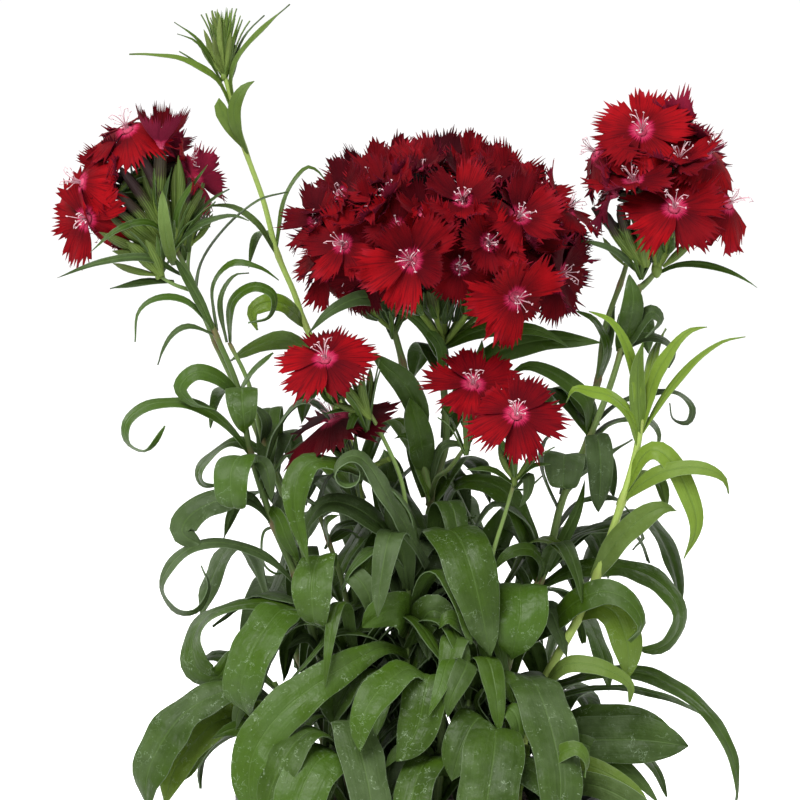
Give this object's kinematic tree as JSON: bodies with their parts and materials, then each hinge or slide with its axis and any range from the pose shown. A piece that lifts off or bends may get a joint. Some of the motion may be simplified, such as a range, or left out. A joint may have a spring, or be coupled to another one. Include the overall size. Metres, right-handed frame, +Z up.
{
  "type": "potted dianthus plant",
  "caption": "Bushy dianthus plant in a round tapered nursery pot: leafy arching stems carry toothed crimson florets in a dense middle head, side heads and low single blooms.",
  "frame": {"origin": "centre of the pot's flat underside", "axes": "+Z up the plant, -Y towards the plant's front, +X to the right seen from the front"},
  "size_m": [0.2216, 0.1595, 0.346],
  "materials": {
    "pot": "smooth black moulded plastic, moderately glossy",
    "soil": "dark matt potting mix, lumpy",
    "foliage": "mid green with a faint grey bloom, satin",
    "young_foliage": "bright yellow-green, satin",
    "petals": "velvety crimson with darker veins and a pink eye"
  },
  "bodies": {
    "root": {"pot": "pot", "soil": "soil", "stem_left": "foliage", "stem_tall": "foliage", "stem_centre": "foliage", "stem_right": "foliage", "shoot_right": "young_foliage", "stem_low_left": "foliage", "stem_low_right": "foliage", "shoot_left_inner": "foliage", "shoot_front_left": "foliage", "shoot_front": "foliage", "shoot_front_right": "foliage", "shoot_left": "foliage", "shoot_right_low": "foliage", "shoot_back_left": "foliage", "shoot_back": "foliage", "shoot_back_right": "foliage", "head_left": "petals", "head_right": "petals", "head_centre": "petals", "bloom_low_left": "petals", "bloom_low_left_rear": "petals", "bloom_low_right": "petals", "bloom_low_right_front": "petals"}
  },
  "joints": []
}
